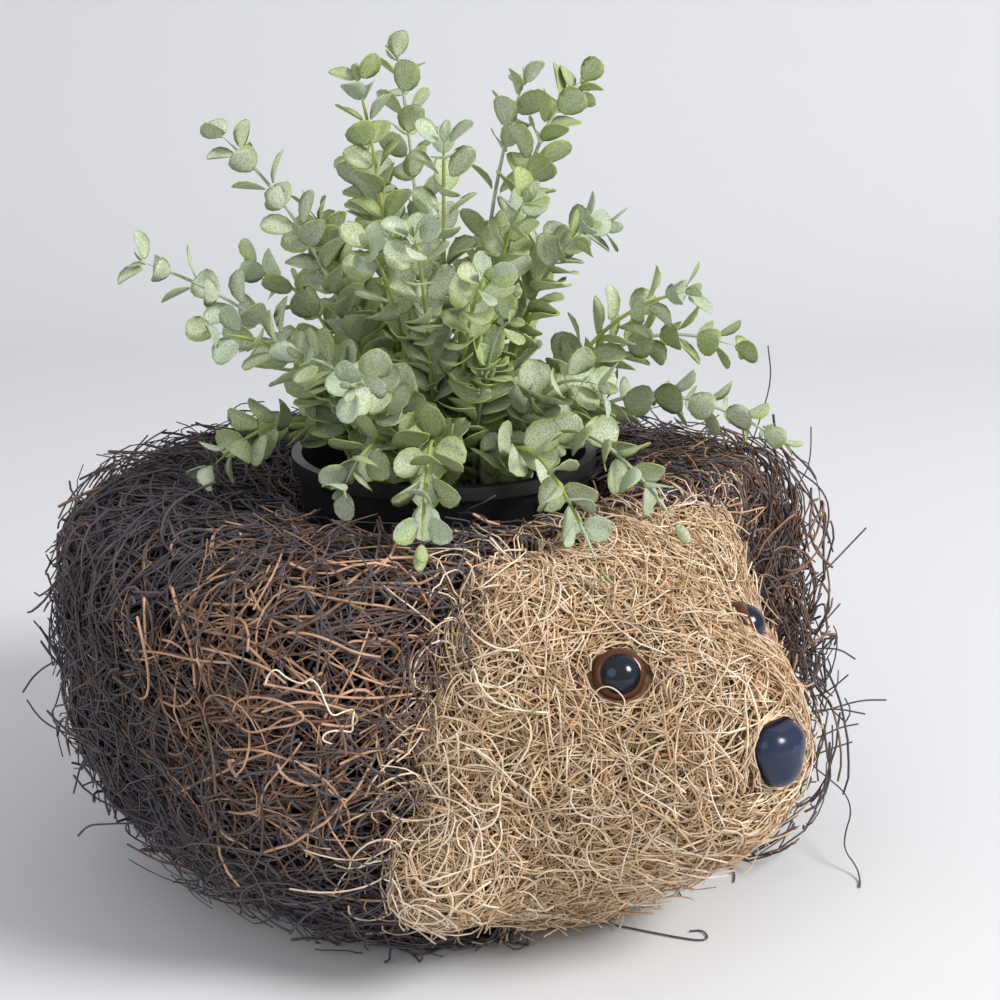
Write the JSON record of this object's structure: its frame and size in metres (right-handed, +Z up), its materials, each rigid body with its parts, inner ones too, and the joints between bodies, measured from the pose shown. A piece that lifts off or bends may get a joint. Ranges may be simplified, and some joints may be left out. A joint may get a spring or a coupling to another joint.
{
  "type": "hedgehog planter",
  "caption": "Free-standing planter in the form of a hedgehog: a fibre nest with a pale face, a pot that lifts out of its back and a leafy plant that lifts out of the pot.",
  "frame": {"origin": "on the floor, under the middle of the nest, on its flat underside", "axes": "+Z up, the nose towards -Y, the animal's left towards +X"},
  "size_m": [0.336, 0.3846, 0.3938],
  "materials": {
    "dark_fibre": "coarse dark brown palm fibre",
    "pale_fibre": "fine pale straw fibre",
    "bed_fibre": "packed dark fibre",
    "frame_wire": "black lacquered wire strip",
    "eye_brown": "glossy brown",
    "eye_black": "glossy black dome",
    "nose_black": "glossy black",
    "washer_plastic": "plain white",
    "pot_plastic": "satin black",
    "plug_foam": "dark green foam",
    "leaf_plastic": "frosted grey green with a powdery bloom"
  },
  "bodies": {
    "hedgehog": {"body_coat": "dark_fibre", "eye_cup_left": "eye_brown", "eye_cup_right": "eye_brown", "eye_pupil_left": "eye_black", "eye_pupil_right": "eye_black", "eye_washer_left": "washer_plastic", "eye_washer_right": "washer_plastic", "face_coat": "pale_fibre", "frame_face_hoop": "frame_wire", "frame_high_hoop": "frame_wire", "frame_low_hoop": "frame_wire", "frame_mouth_ring": "frame_wire", "frame_rib_front": "frame_wire", "frame_rib_left": "frame_wire", "frame_rib_rear": "frame_wire", "frame_rib_right": "frame_wire", "nose_button": "nose_black", "nose_washer": "washer_plastic", "pot_bed": "bed_fibre"},
    "pot": {"pot": "pot_plastic"},
    "plant": {"plant_plug": "plug_foam", "sprig_01": "leaf_plastic", "sprig_02": "leaf_plastic", "sprig_03": "leaf_plastic", "sprig_04": "leaf_plastic", "sprig_05": "leaf_plastic", "sprig_06": "leaf_plastic", "sprig_07": "leaf_plastic", "sprig_08": "leaf_plastic", "sprig_09": "leaf_plastic", "sprig_10": "leaf_plastic", "sprig_11": "leaf_plastic", "sprig_12": "leaf_plastic", "sprig_13": "leaf_plastic", "sprig_14": "leaf_plastic", "sprig_15": "leaf_plastic", "sprig_16": "leaf_plastic", "sprig_17": "leaf_plastic", "sprig_18": "leaf_plastic", "sprig_19": "leaf_plastic", "sprig_20": "leaf_plastic", "sprig_21": "leaf_plastic", "sprig_22": "leaf_plastic", "sprig_23": "leaf_plastic", "sprig_24": "leaf_plastic", "sprig_25": "leaf_plastic", "sprig_26": "leaf_plastic", "sprig_27": "leaf_plastic", "sprig_28": "leaf_plastic", "sprig_29": "leaf_plastic", "sprig_30": "leaf_plastic", "sprig_31": "leaf_plastic"}
  },
  "joints": [
    {"name": "pot_lift", "type": "slide", "parent": "hedgehog", "child": "pot", "axis": [0, 0, 1], "range_m": [0, 0.2]},
    {"name": "plant_lift", "type": "slide", "parent": "pot", "child": "plant", "axis": [0, 0, 1], "range_m": [0, 0.16]}
  ]
}
